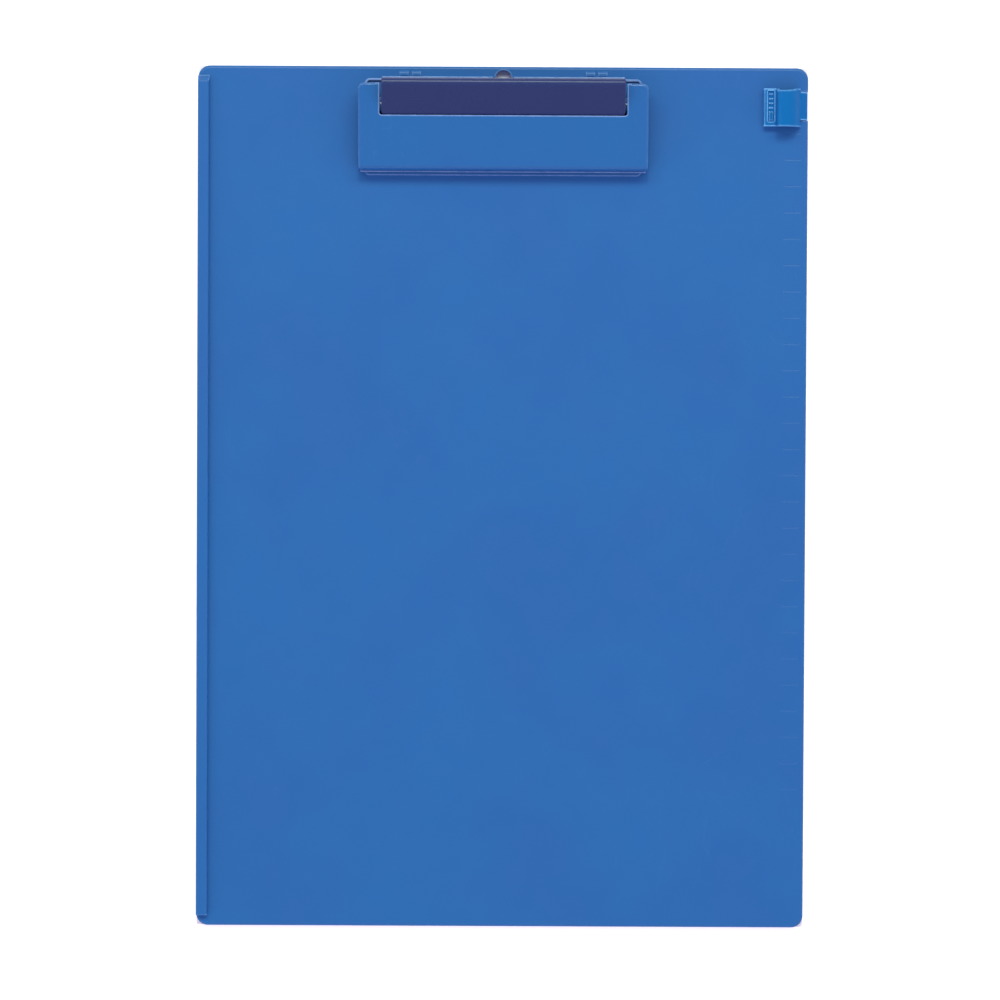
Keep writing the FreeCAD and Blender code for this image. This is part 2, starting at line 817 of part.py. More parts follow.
def holder_band_face():
    """Side outline of the pen holder: the hook behind the board, the root in its notch, and the arch."""
    top = face_z + holder_height
    seat_z = face_z + foot_gap
    root_z = seat_z + holder_band
    arch = [
        vec(holder_shoulder_x, 0, root_z),
        vec(holder_shoulder_x - holder_arch_lean_right, 0, top),
        vec(holder_arch_left + holder_arch_lean_left, 0, top),
        vec(holder_arch_left, 0, seat_z),
    ]
    hollow = offset_path(arch, holder_band)
    slope = unit(hollow[1] - hollow[0])
    hollow[0] = hollow[0] - slope * ((hollow[0].z - seat_z) / slope.z)
    hollow[-1] = vec(holder_arch_left + holder_band, 0, seat_z)
    tip_x = holder_right - holder_hook_length
    root_x = holder_right - holder_root_depth
    hook_top = table_gap + holder_hook_thickness
    outer = [vec(tip_x, 0, table_gap), vec(holder_right, 0, table_gap), vec(holder_right, 0, root_z - holder_root_drop)]
    inner = [vec(root_x, 0, seat_z), vec(root_x, 0, hook_top), vec(tip_x, 0, hook_top)]
    points = outer + arch + hollow[::-1] + inner
    outer_radii = [0, holder_bend_radius, holder_root_radius]
    arch_radii = [holder_bend_radius, holder_arch_radius_right, holder_arch_radius_left, 0]
    hollow_radii = [0, holder_arch_radius_left - holder_band, holder_arch_radius_right - holder_band, 0]
    return Part.Face(rounded_wire(points, outer_radii + arch_radii + hollow_radii + [0] * len(inner)))


def window_fillings(x0, x1, y0, y1, floor_z):
    """The plain ribs and the pad that stand in the window in the pen holder's foot."""
    left = x0 + window_rib_width / 2
    right = x1 - window_rib_width / 2
    pad_y0 = y0 + window_rib_width / 2
    pad_y1 = y0 + (y1 - y0) * window_pad_share
    spans = [(pad_y0, pad_y1)]
    step = (y1 - pad_y1) / (window_rib_count + 1 / 2)
    for i in range(window_rib_count):
        middle = pad_y1 + step * (i + 1 / 2 + 1 / 4)
        spans.append((middle - window_rib_width / 2, middle + window_rib_width / 2))
    fillings = []
    for low, high in spans:
        filling = block(left, right, low, high, floor_z - window_rib_height, floor_z + window_rib_height)
        top = edges_where(filling, lambda p: on(p.z, floor_z + window_rib_height))
        fillings.append(filling.makeFillet(window_rib_radius, top))
    return fillings


def beside_root(x0, z1):
    """The blocks on both sides of the band that are cut off to leave the root's width."""
    near = holder_root_width / 2
    x1 = half_width + cut_overrun
    above = block(x0, x1, holder_root_y + near, holder_y + holder_width, 0, z1)
    below = block(x0, x1, holder_y - holder_width, holder_root_y - near, 0, z1)
    return [above, below]


def holder_side_view():
    """End outline of the pen holder: the high side leans above the foot, the low side all the way up."""
    y0 = holder_y - holder_width / 2
    y1 = holder_y + holder_width / 2
    top = face_z + holder_height
    return [
        (y0, 0),
        (y1, 0),
        (y1, face_z + holder_foot_height),
        (y1 - holder_side_lean_high, top),
        (y0 - holder_side_lean_low, top),
    ]


def pen_holder():
    y0 = holder_y - holder_width / 2
    y1 = holder_y + holder_width / 2
    foot_top = face_z + holder_foot_height
    seat_z = face_z + foot_gap
    face = holder_band_face()
    face.translate(vec(0, y0 - holder_side_lean_low, 0))
    band = face.extrude(vec(0, holder_width + holder_side_lean_low, 0))
    band = band.common(prism_x(holder_side_view(), 0, half_width))

    def along_low_side(p):
        return p.z > face_z and on(p.y, y0 - p.z / (face_z + holder_height) * holder_side_lean_low)

    def along_high_side(p):
        share = (p.z - foot_top) / (holder_height - holder_foot_height)
        return p.z > foot_top - seat_gap and on(p.y, y1 - share * holder_side_lean_high)

    # The level edges where the high side starts to lean stay as they are
    high_rims = [e for e in edges_where(band, along_high_side) if e.BoundBox.ZMax > foot_top + seat_gap]
    band = band.makeFillet(holder_edge_radius, edges_where(band, along_low_side) + high_rims)
    foot_x0 = holder_arch_left - holder_foot_width
    foot = block(foot_x0, holder_arch_left + holder_band / 2, y0, y1, seat_z, foot_top)
    foot_rims = edges_where(foot, lambda p: on(p.z, foot_top) and not on(p.x, holder_arch_left + holder_band / 2))
    foot = foot.makeFillet(holder_edge_radius, foot_rims)
    shape = fuse([band, foot])
    x0 = foot_x0 + window_left_border
    x1 = holder_arch_left - window_right_border
    low = y0 + window_low_border
    high = y1 - window_high_border
    floor_z = foot_top - window_depth
    shape = shape.cut(block(x0, x1, low, high, floor_z, foot_top + cut_overrun))
    shape = fuse([shape] + window_fillings(x0, x1, low, high, floor_z))
    hook_x = holder_right - holder_hook_length - cut_overrun
    return shape.cut(beside_root(holder_shoulder_x, face_z + 2 * holder_height) + beside_root(hook_x, seat_z))


def main():
    os.makedirs("parts", exist_ok=True)
    right_spring = torsion_spring()
    nodes = {
        "board": board(),
        "clip_base": clip_base(),
        "press_plate": press_plate(),
        "finger_lever": finger_lever(),
        "hinge_pin": hinge_pin(),
        "torsion_spring_right": right_spring,
        "torsion_spring_left": right_spring.mirror(vec(0, 0, 0), vec(1, 0, 0)),
        "pin_clips": pin_clips(),
        "grip_strip": grip_strip(),
        "base_rivets": base_rivets(),
        "rivet_washers": rivet_washers(),
        "pen_holder": pen_holder(),
    }
    for name, shape in nodes.items():
        shape.exportStep("parts/" + name + ".step")
        print(name, len(shape.Solids), "solids, valid:", shape.isValid(), "volume:", round(shape.Volume, 2))


main()
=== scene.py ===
# Looks of an A4 clipboard: moulded board, spring clip with a finger lever, and a hooked pen holder.
# Metres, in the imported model's frame: the board lies on its back, +Y is its clip end, +Z is out of its face.
import json
import math

import bmesh
import bpy
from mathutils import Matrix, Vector

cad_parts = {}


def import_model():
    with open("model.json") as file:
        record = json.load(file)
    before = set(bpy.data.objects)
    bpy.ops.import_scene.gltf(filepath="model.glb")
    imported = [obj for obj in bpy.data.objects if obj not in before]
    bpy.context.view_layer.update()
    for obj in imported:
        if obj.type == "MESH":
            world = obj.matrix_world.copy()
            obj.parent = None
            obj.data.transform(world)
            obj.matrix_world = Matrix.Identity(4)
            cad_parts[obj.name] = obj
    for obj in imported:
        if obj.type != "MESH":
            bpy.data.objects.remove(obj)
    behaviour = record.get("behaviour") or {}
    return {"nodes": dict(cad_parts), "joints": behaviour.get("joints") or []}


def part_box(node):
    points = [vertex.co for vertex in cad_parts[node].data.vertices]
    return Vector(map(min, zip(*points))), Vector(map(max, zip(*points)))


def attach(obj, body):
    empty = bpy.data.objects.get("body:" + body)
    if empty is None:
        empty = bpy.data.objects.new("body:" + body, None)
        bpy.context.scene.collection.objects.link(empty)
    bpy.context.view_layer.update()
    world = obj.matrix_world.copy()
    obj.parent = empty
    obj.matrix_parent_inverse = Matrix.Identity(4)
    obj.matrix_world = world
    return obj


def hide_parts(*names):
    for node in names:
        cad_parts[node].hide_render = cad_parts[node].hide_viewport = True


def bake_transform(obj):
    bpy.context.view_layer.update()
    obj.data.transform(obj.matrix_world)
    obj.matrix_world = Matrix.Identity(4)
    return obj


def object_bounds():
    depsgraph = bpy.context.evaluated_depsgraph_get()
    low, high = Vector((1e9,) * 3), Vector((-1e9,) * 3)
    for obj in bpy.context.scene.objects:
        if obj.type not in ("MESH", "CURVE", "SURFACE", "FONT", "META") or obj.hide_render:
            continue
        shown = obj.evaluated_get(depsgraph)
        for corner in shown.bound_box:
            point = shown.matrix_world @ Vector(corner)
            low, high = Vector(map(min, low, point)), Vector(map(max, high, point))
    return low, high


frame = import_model()
nodes = frame["nodes"]
joints = {joint["name"]: joint for joint in frame["joints"]}
cad_low, cad_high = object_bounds()

MM = 0.001

# Camera, above the board and turned a little
camera_place = Vector((-4.22, 39.31, 1501.96)) * MM
camera_tilt_deg = (-1.535, -0.1335, 0.2778)
camera_lens = 141.581
camera_sensor = 36.0

# Lights: a long soft lamp off the clip end, and fill from overhead, from both sides and from the front
key_elevation_deg = 53.0
key_distance = 4.0
key_length = 5.0
key_height = 1.2
key_power = 84.0
core_side = 0.55
core_power = 24.0
key_colour = (0.96, 1.05, 0.90)
fill_overhead = 0.28
fill_sides = 0.68
fill_front = 0.85
fill_colour = (1.08, 0.93, 1.16)
ceiling_colour = (0.24, 0.25, 0.28)
ceiling_start = 0.32

# Floor
floor_side = 8.0
floor_colour = (1.0, 1.0, 1.0)
floor_bounce_colour = (0.8, 0.8, 0.8)
floor_lift = 0.45

# Plastics and metals, as linear colours
board_blue = (0.016, 0.143, 0.418)
board_blue_deep = (0.018, 0.131, 0.404)
clip_blue = (0.016, 0.143, 0.402)
clip_blue_deep = (0.020, 0.131, 0.402)
lever_navy = (0.0245, 0.0425, 0.149)
lever_navy_deep = (0.0225, 0.039, 0.141)
holder_blue = (0.003, 0.158, 0.440)
holder_blue_deep = (0.008, 0.138, 0.420)
# Pale colours for outward edges and hairlines: on edges they are partly wear, partly a painted highlight
board_wear_and_highlight = (0.16, 0.34, 0.68)
clip_wear_and_highlight = (0.27, 0.43, 0.78)
lever_wear_and_highlight = (0.20, 0.17, 0.40)
holder_wear_and_highlight = (0.20, 0.52, 0.90)
dust_colour = (0.62, 0.64, 0.66)
steel_bright = (0.36, 0.37, 0.40)
steel_dull = (0.25, 0.26, 0.29)
zinc_bright = (0.52, 0.54, 0.57)
zinc_dull = (0.34, 0.35, 0.38)
rivet_bright = (0.72, 0.73, 0.75)
rivet_dull = (0.61, 0.62, 0.64)
rubber_dark = (0.012, 0.012, 0.014)
rubber_worn = (0.030, 0.030, 0.033)
rubber_edge_wear_and_highlight = (0.08, 0.08, 0.085)

# Wear. A set of scratches has its turn in radians and its cells per metre; a cell's width is a share of its
# length, and patches are coarser than cells by their share.
scratch_sets = ((0.5, 66.0), (-0.9, 54.0), (1.4, 46.0))
scratch_width = 0.09
scratch_line = 0.012
scratch_patches = 0.4
scratch_amount = 0.10
scratch_share = 0.35
speck_size = 0.020
# How far the breaks in the pale edge lines go; those lines are partly wear, partly painted highlight
break_depth = 0.35

# Spread of a plastic's roughness, at its dull and its glossy patches
dull_patch = 1.07
glossy_patch = 0.95


def add_node(tree, kind, **settings):
    """A new node with its settings."""
    node = tree.nodes.new(kind)
    for name, value in settings.items():
        setattr(node, name, value)
    return node


def new_group(name, inputs, outputs):
    """A shader group with named sockets. inputs: name, default, lowest and highest value."""
    tree = bpy.data.node_groups.new(name, "ShaderNodeTree")
    for label, default, low, high in inputs:
        socket = tree.interface.new_socket(label, in_out="INPUT", socket_type="NodeSocketFloat")
        socket.default_value = default
        socket.min_value = low
        socket.max_value = high
    for label in outputs:
        tree.interface.new_socket(label, in_out="OUTPUT", socket_type="NodeSocketFloat")
    return tree, add_node(tree, "NodeGroupInput"), add_node(tree, "NodeGroupOutput")


def math_of(tree, kind, first, second):
    """A math node on two sockets or plain numbers."""
    node = add_node(tree, "ShaderNodeMath", operation=kind)
    for slot, value in enumerate((first, second)):
        if isinstance(value, (int, float)):
            node.inputs[slot].default_value = value
        else:
            tree.links.new(value, node.inputs[slot])
    return node.outputs[0]


def most_of(tree, *values):
    """The largest of several sockets."""
    most = values[0]
    for value in values[1:]:
        most = math_of(tree, "MAXIMUM", most, value)
    return most


def seen_rays(tree):
    """Which rays come from the camera, and which from the camera, from gloss or through glass."""
    rays = add_node(tree, "ShaderNodeLightPath").outputs
    camera_rays = rays["Is Camera Ray"]
    return camera_rays, most_of(tree, camera_rays, rays["Is Glossy Ray"], rays["Is Transmission Ray"])


def ramp_of(tree, value, low, high):
    """0 at low, 1 at high, smooth between."""
    node = add_node(tree, "ShaderNodeMapRange", interpolation_type="SMOOTHSTEP")
    node.inputs["From Min"].default_value = low
    node.inputs["From Max"].default_value = high
    tree.links.new(value, node.inputs["Value"])
    return node.outputs["Result"]


def noise_at(tree, places, scale, detail, rough, stretch=None):
    """A noise texture on object places, with its scale from a socket or a number."""
    if stretch:
        mapping = add_node(tree, "ShaderNodeMapping")
        mapping.inputs["Scale"].default_value = stretch
        tree.links.new(places, mapping.inputs["Vector"])
        places = mapping.outputs["Vector"]
    node = add_node(tree, "ShaderNodeTexNoise")
    tree.links.new(places, node.inputs["Vector"])
    if isinstance(scale, (int, float)):
        node.inputs["Scale"].default_value = scale
    else:
        tree.links.new(scale, node.inputs["Scale"])
    node.inputs["Detail"].default_value = detail
    node.inputs["Roughness"].default_value = rough
    return node.outputs["Fac"]


def moulded_grain():
    """The spark-eroded grain of a moulded face: its height, and slow drifts of tone and gloss."""
    tree, given, made = new_group(
        "moulded_grain",
        [("Grains per metre", 2600.0, 10.0, 20000.0), ("Drifts per metre", 14.0, 0.1, 500.0)],
        ["Height", "Tone", "Gloss"],
    )
    places = add_node(tree, "ShaderNodeTexCoord").outputs["Object"]
    fine = noise_at(tree, places, given.outputs["Grains per metre"], 2.0, 0.55)
    coarse_scale = math_of(tree, "MULTIPLY", given.outputs["Grains per metre"], 0.31)
    coarse = noise_at(tree, places, coarse_scale, 1.0, 0.5)
    height = math_of(tree, "ADD", fine, math_of(tree, "MULTIPLY", coarse, 0.6))
    tree.links.new(height, made.inputs["Height"])
    slow = noise_at(tree, places, given.outputs["Drifts per metre"], 3.0, 0.6)
    tree.links.new(ramp_of(tree, slow, 0.3, 0.7), made.inputs["Tone"])
    gloss_scale = math_of(tree, "MULTIPLY", given.outputs["Drifts per metre"], 6.0)
    gloss = noise_at(tree, places, gloss_scale, 2.0, 0.6)
    tree.links.new(ramp_of(tree, gloss, 0.25, 0.75), made.inputs["Gloss"])
    return tree


def hairlines():
    """Short fine scratches from handling, in three directions."""
    tree, given, made = new_group("hairlines", [("Amount", 0.3, 0.0, 1.0)], ["Mask"])
    places = add_node(tree, "ShaderNodeTexCoord").outputs["Object"]
    lines = []
    for turn, scale in scratch_sets:
        mapping = add_node(tree, "ShaderNodeMapping", vector_type="TEXTURE")
        mapping.inputs["Rotation"].default_value = (0, 0, turn)
        mapping.inputs["Scale"].default_value = (1.0, scratch_width, scratch_width)
        tree.links.new(places, mapping.inputs["Vector"])
        noise = noise_at(tree, mapping.outputs["Vector"], scale, 0.0, 0.4)
        thin = math_of(tree, "ABSOLUTE", math_of(tree, "SUBTRACT", noise, 0.5), 0.0)
        line = ramp_of(tree, thin, scratch_line, 0.0)
        patch = ramp_of(tree, noise_at(tree, places, scale * scratch_patches, 0.0, 0.5), 0.50, 0.80)
        lines.append(math_of(tree, "MULTIPLY", line, patch))
    mask = math_of(tree, "MULTIPLY", most_of(tree, *lines), given.outputs["Amount"])
    tree.links.new(mask, made.inputs["Mask"])
    return tree


def dust_specks():
    """Sparse specks of dust on upward faces."""
    tree, given, made = new_group(
        "dust_specks",
        [("Specks per metre", 60.0, 1.0, 2000.0), ("Share", 0.1, 0.0, 1.0)],
        ["Mask"],
    )
    places = add_node(tree, "ShaderNodeTexCoord").outputs["Object"]
    cells = add_node(tree, "ShaderNodeTexVoronoi", feature="F1")
    tree.links.new(places, cells.inputs["Vector"])
    tree.links.new(given.outputs["Specks per metre"], cells.inputs["Scale"])
    pick = add_node(tree, "ShaderNodeSeparateColor")
    tree.links.new(cells.outputs["Color"], pick.inputs["Color"])
    chosen = math_of(tree, "LESS_THAN", pick.outputs["Red"], given.outputs["Share"])
    size = math_of(tree, "MULTIPLY", pick.outputs["Green"], speck_size)
    spot = math_of(tree, "LESS_THAN", cells.outputs["Distance"], size)
    upward = add_node(tree, "ShaderNodeNewGeometry")
    split = add_node(tree, "ShaderNodeSeparateXYZ")
    tree.links.new(upward.outputs["Normal"], split.inputs["Vector"])
    flat = ramp_of(tree, split.outputs["Z"], 0.3, 0.9)
    mask = math_of(tree, "MULTIPLY", math_of(tree, "MULTIPLY", chosen, spot), flat)
    tree.links.new(mask, made.inputs["Mask"])
    return tree


def worn_and_highlit_edges():
    """Thin pale lines along outward edges, where the next face lies near inside: partly handling wear, partly
    painted highlight.
    """
    tree, given, made = new_group(
        "worn_and_highlit_edges", [("Width", 0.0006, 0.0, 0.01), ("Breaks per metre", 240.0, 1.0, 5000.0)], ["Mask"]
    )
    inside = add_node(tree, "ShaderNodeAmbientOcclusion", samples=8, inside=True, only_local=True)
    tree.links.new(given.outputs["Width"], inside.inputs["Distance"])
    near = math_of(tree, "SUBTRACT", 1.0, inside.outputs["AO"])
    edge = ramp_of(tree, near, 0.06, 0.36)
    places = add_node(tree, "ShaderNodeTexCoord").outputs["Object"]
    breaks = noise_at(tree, places, given.outputs["Breaks per metre"], 3.0, 0.7)
    broken = math_of(tree, "MULTIPLY", ramp_of(tree, breaks, 0.35, 0.60), break_depth)
    kept = math_of(tree, "ADD", broken, 1.0 - break_depth)
    tree.links.new(math_of(tree, "MULTIPLY", edge, kept), made.inputs["Mask"])
    return tree


grain_group = moulded_grain()
scratch_group = hairlines()
dust_group = dust_specks()
worn_and_highlit_edge_group = worn_and_highlit_edges()


def place_group(tree, group, **values):
    """A shader group with its own values; a value's name has _ for each space."""
    node = add_node(tree, "ShaderNodeGroup", node_tree=group)
    for name, value in values.items():
        node.inputs[name.replace("_", " ")].default_value = value
    return node


def mix_colours(tree, share, first, second):
    """Two colours, or a socket and a colour, mixed by a share."""
    node = add_node(tree, "ShaderNodeMix", data_type="RGBA")
    sockets = [s for s in node.inputs if s.type == "RGBA"]
    tree.links.new(share, node.inputs[0])
    for socket, value in zip(sockets, (first, second)):
        if isinstance(value, tuple):
            socket.default_value = (*value, 1.0)
        else:
            tree.links.new(value, socket)
    return next(s for s in node.outputs if s.type == "RGBA")


def new_material(name):
    """A material with its node tree and its shader."""
    material = bpy.data.materials.new(name)
    material.use_nodes = True
    tree = material.node_tree
    shader = next(n for n in tree.nodes if n.type == "BSDF_PRINCIPLED")
    return material, tree, shader


def roughness_between(tree, shader, value, at_zero, at_one):
    """The shader's roughness from a socket that runs from 0 to 1."""
    node = add_node(tree, "ShaderNodeMapRange")
    node.inputs["To Min"].default_value = at_zero
    node.inputs["To Max"].default_value = at_one
    tree.links.new(value, node.inputs["Value"])
    tree.links.new(node.outputs["Result"], shader.inputs["Roughness"])


def bumped(tree, shader, height, distance):
    """Fine relief from a height socket, with its full depth in metres."""
    bump = add_node(tree, "ShaderNodeBump")
    bump.inputs["Strength"].default_value = 1.0
    bump.inputs["Distance"].default_value = distance
    tree.links.new(height, bump.inputs["Height"])
    tree.links.new(bump.outputs["Normal"], shader.inputs["Normal"])


def plastic(name, blue, deep, wear_and_highlight_colour, *, rough, grain, depth, edge_wear_and_highlight_share, edge_wear_and_highlight_width, dust_share, shine):
    """Moulded plastic: drifting tone, fine grain, edges lightened partly as wear and partly as painted
    highlight, hairlines and a little dust.
    """
    material, tree, shader = new_material(name)
    surface = place_group(tree, grain_group, Grains_per_metre=grain)
    edges = place_group(tree, worn_and_highlit_edge_group, Width=edge_wear_and_highlight_width)
    lines = place_group(tree, scratch_group, Amount=scratch_amount)
    dust = place_group(tree, dust_group, Share=dust_share)
    colour = mix_colours(tree, surface.outputs["Tone"], blue, deep)
    # Outward edges are lightened: partly wear, partly a painted highlight line
    edges_worn_and_highlit = math_of(tree, "MULTIPLY", edges.outputs["Mask"], edge_wear_and_highlight_share)
    colour = mix_colours(tree, edges_worn_and_highlit, colour, wear_and_highlight_colour)
    scratched = math_of(tree, "MULTIPLY", lines.outputs["Mask"], scratch_share)
    colour = mix_colours(tree, scratched, colour, wear_and_highlight_colour)
    colour = mix_colours(tree, dust.outputs["Mask"], colour, dust_colour)
    tree.links.new(colour, shader.inputs["Base Color"])
    shader.inputs["Specular IOR Level"].default_value = shine
    worn = math_of(tree, "SUBTRACT", surface.outputs["Gloss"], lines.outputs["Mask"])
    roughness_between(tree, shader, worn, rough * dull_patch, rough * glossy_patch)
    bumped(tree, shader, surface.outputs["Height"], depth)
    return material


def metal(name, bright, dull, *, low, high, grain, depth, stretch):
    """Drawn or plated metal: fine lines along its length and a patchy dullness."""
    material, tree, shader = new_material(name)
    places = add_node(tree, "ShaderNodeTexCoord").outputs["Object"]
    lines = noise_at(tree, places, grain, 3.0, 0.6, stretch)
    patches = ramp_of(tree, noise_at(tree, places, 160.0, 4.0, 0.65), 0.35, 0.72)
    lines_share = ramp_of(tree, lines, 0.3, 0.7)
    mixed = math_of(tree, "MULTIPLY", math_of(tree, "ADD", lines_share, patches), 0.5)
    tree.links.new(mix_colours(tree, mixed, bright, dull), shader.inputs["Base Color"])
    shader.inputs["Metallic"].default_value = 1.0
    roughness_between(tree, shader, mixed, low, high)
    bumped(tree, shader, lines, depth)
    return material


def rubber():
    """Dull moulded rubber, lighter along its edges, partly as wear and partly as painted highlight."""
    material, tree, shader = new_material("grip_rubber")
    surface = place_group(tree, grain_group, Grains_per_metre=3800.0)
    edges = place_group(tree, worn_and_highlit_edge_group, Width=0.0004)
    colour = mix_colours(tree, surface.outputs["Tone"], rubber_dark, rubber_worn)
    # Outward edges are lightened: partly wear, partly a painted highlight line
    edges_worn_and_highlit = math_of(tree, "MULTIPLY", edges.outputs["Mask"], 0.5)
    colour = mix_colours(tree, edges_worn_and_highlit, colour, rubber_edge_wear_and_highlight)
    tree.links.new(colour, shader.inputs["Base Color"])
    shader.inputs["Specular IOR Level"].default_value = 0.35
    roughness_between(tree, shader, surface.outputs["Gloss"], 0.82, 0.66)
    bumped(tree, shader, surface.outputs["Height"], 0.00004)
    return material


board_material = plastic(
    "board_plastic", board_blue, board_blue_deep, board_wear_and_highlight,
    rough=0.38, grain=2600.0, depth=0.00002, edge_wear_and_highlight_share=0.60, edge_wear_and_highlight_width=0.0006, dust_share=0.02, shine=0.36,
)
clip_material = plastic(
    "clip_plastic", clip_blue, clip_blue_deep, clip_wear_and_highlight,
    rough=0.24, grain=4200.0, depth=0.000005, edge_wear_and_highlight_share=0.85, edge_wear_and_highlight_width=0.0007, dust_share=0.01, shine=0.50,
)
lever_material = plastic(
    "lever_plastic", lever_navy, lever_navy_deep, lever_wear_and_highlight,
    rough=0.27, grain=4200.0, depth=0.000005, edge_wear_and_highlight_share=0.30, edge_wear_and_highlight_width=0.0005, dust_share=0.01, shine=0.30,
)
holder_material = plastic(
    "holder_plastic", holder_blue, holder_blue_deep, holder_wear_and_highlight,
    rough=0.45, grain=5000.0, depth=0.000005, edge_wear_and_highlight_share=1.0, edge_wear_and_highlight_width=0.0008, dust_share=0.0, shine=0.06,
)
pin_material = metal(
    "pin_steel", steel_bright, steel_dull,
    low=0.28, high=0.42, grain=900.0, depth=0.000003, stretch=(0.05, 1.0, 1.0),
)
spring_material = metal(
    "spring_steel", zinc_bright, zinc_dull,
    low=0.24, high=0.46, grain=1400.0, depth=0.000005, stretch=(1.0, 1.0, 1.0),
)
rivet_material = metal(
    "rivet_metal", rivet_bright, rivet_dull,
    low=0.42, high=0.54, grain=1200.0, depth=0.000002, stretch=(1.0, 1.0, 1.0),
)
rubber_material = rubber()

node_materials = {
    "board": board_material,
    "clip_base": clip_material,
    "press_plate": clip_material,
    "finger_lever": lever_material,
    "hinge_pin": pin_material,
    "torsion_spring_right": spring_material,
    "torsion_spring_left": spring_material,
    "pin_clips": spring_material,
    "grip_strip": rubber_material,
    "base_rivets": rivet_material,
    "rivet_washers": rivet_material,
    "pen_holder": holder_material,
}
for name, material in node_materials.items():
    mesh = nodes[name].data
    mesh.materials.clear()
    mesh.materials.append(material)


# Springs, rivets and washers, made finer than their plain solids.
# An outline is half of a round piece's section, as radius and height in millimetres.
coil_radius = 3.0 * MM
wire_radius = 0.6 * MM
coil_pitch = 1.7 * MM
full_turns = 5
lever_slope_deg = 35
coil_turns = full_turns - (180 + lever_slope_deg) / 360
coil_start = 16.1 * MM
base_leg = 7.5 * MM
lever_leg = 7.63 * MM
spring_points = 230
spring_facets = 16
rivet_head_radius = 3.0 * MM
washer_radius = 3.6 * MM
rivet_facets = 40
rivet_turn_seed = 4
sharp_angle_deg = 40
rivet_outline = (
    (0.0, 5.35), (0.7, 5.34), (1.3, 5.28), (1.9, 5.12), (2.4, 4.88), (2.78, 4.6), (2.96, 4.42),
    (3.0, 4.33), (2.97, 4.27), (2.9, 4.25), (1.5, 4.25), (1.5, 0.92), (1.75, 0.9), (2.1, 0.86),
    (2.33, 0.74), (2.4, 0.6), (2.33, 0.44), (2.12, 0.33), (1.85, 0.3), (1.55, 0.33), (1.3, 0.45),
    (1.15, 0.65), (1.08, 0.9), (1.05, 1.4), (0.95, 1.55), (0.0, 1.6),
)
washer_outline = (
    (1.62, 0.96), (1.7, 0.95), (3.45, 0.95), (3.56, 1.0), (3.6, 1.08), (3.6, 1.38), (3.55, 1.45),
    (1.62, 1.45), (1.55, 1.38), (1.55, 1.03), (1.62, 0.96),
)


def geometry_tree(name, inputs):
    """A geometry tree with named inputs. inputs: name and kind of socket."""
    tree = bpy.data.node_groups.new(name, "GeometryNodeTree")
    tree.interface.new_socket("Geometry", in_out="INPUT", socket_type="NodeSocketGeometry")
    names = {}
    for label, kind in inputs:
        names[label] = tree.interface.new_socket(label, in_out="INPUT", socket_type=kind).identifier
    tree.interface.new_socket("Geometry", in_out="OUTPUT", socket_type="NodeSocketGeometry")
    return tree, names, add_node(tree, "NodeGroupInput"), add_node(tree, "NodeGroupOutput")


def wound_wire():
    """A wire on a helix round the pin, with a straight leg at both ends that leaves along the helix."""
    tree, names, given, made = geometry_tree("wound_wire", [
        ("Side", "NodeSocketFloat"), ("Start", "NodeSocketFloat"), ("Pin Y", "NodeSocketFloat"),
        ("Pin Z", "NodeSocketFloat"), ("Coil radius", "NodeSocketFloat"), ("Rise", "NodeSocketFloat"),
        ("Turned", "NodeSocketFloat"), ("First leg", "NodeSocketFloat"), ("Last leg", "NodeSocketFloat"),
        ("Wire radius", "NodeSocketFloat"), ("Points", "NodeSocketInt"), ("Facets", "NodeSocketInt"),
        ("Finish", "NodeSocketMaterial"),
    ])

    def m(kind, first, second=0.0):
        return math_of(tree, kind, first, second)

    value = given.outputs
    line = add_node(tree, "GeometryNodeCurvePrimitiveLine")
    fine = add_node(tree, "GeometryNodeResampleCurve")
    tree.links.new(line.outputs["Curve"], fine.inputs["Curve"])
    tree.links.new(value["Points"], fine.inputs["Count"])
    index = add_node(tree, "GeometryNodeInputIndex").outputs[0]
    share = m("DIVIDE", index, m("SUBTRACT", value["Points"], 1.0))
    total = m("ADD", m("ADD", value["First leg"], value["Turned"]), value["Last leg"])
    along = m("SUBTRACT", m("MULTIPLY", share, total), value["First leg"])
    wound = m("MINIMUM", m("MAXIMUM", along, 0.0), value["Turned"])
    past = m("SUBTRACT", along, wound)
    around = m("SUBTRACT", -math.pi / 2, wound)
    out_y = m("MULTIPLY", value["Coil radius"], m("COSINE", around))
    out_z = m("MULTIPLY", value["Coil radius"], m("SINE", around))
    place = add_node(tree, "ShaderNodeCombineXYZ")
    x = m("ADD", value["Start"], m("MULTIPLY", value["Rise"], along))
    y = m("ADD", out_y, m("MULTIPLY", past, out_z))
    z = m("SUBTRACT", out_z, m("MULTIPLY", past, out_y))
    tree.links.new(m("MULTIPLY", x, value["Side"]), place.inputs["X"])
    tree.links.new(m("ADD", value["Pin Y"], y), place.inputs["Y"])
    tree.links.new(m("ADD", value["Pin Z"], z), place.inputs["Z"])
    bent = add_node(tree, "GeometryNodeSetPosition")
    tree.links.new(fine.outputs["Curve"], bent.inputs["Geometry"])
    tree.links.new(place.outputs["Vector"], bent.inputs["Position"])
    section = add_node(tree, "GeometryNodeCurvePrimitiveCircle")
    tree.links.new(value["Facets"], section.inputs["Resolution"])
    tree.links.new(value["Wire radius"], section.inputs["Radius"])
    swept = add_node(tree, "GeometryNodeCurveToMesh")
    swept.inputs["Fill Caps"].default_value = True
    tree.links.new(bent.outputs["Geometry"], swept.inputs["Curve"])
    tree.links.new(section.outputs["Curve"], swept.inputs["Profile Curve"])
    finish_tree(tree, swept.outputs["Mesh"], value["Finish"], made)
    return tree, names


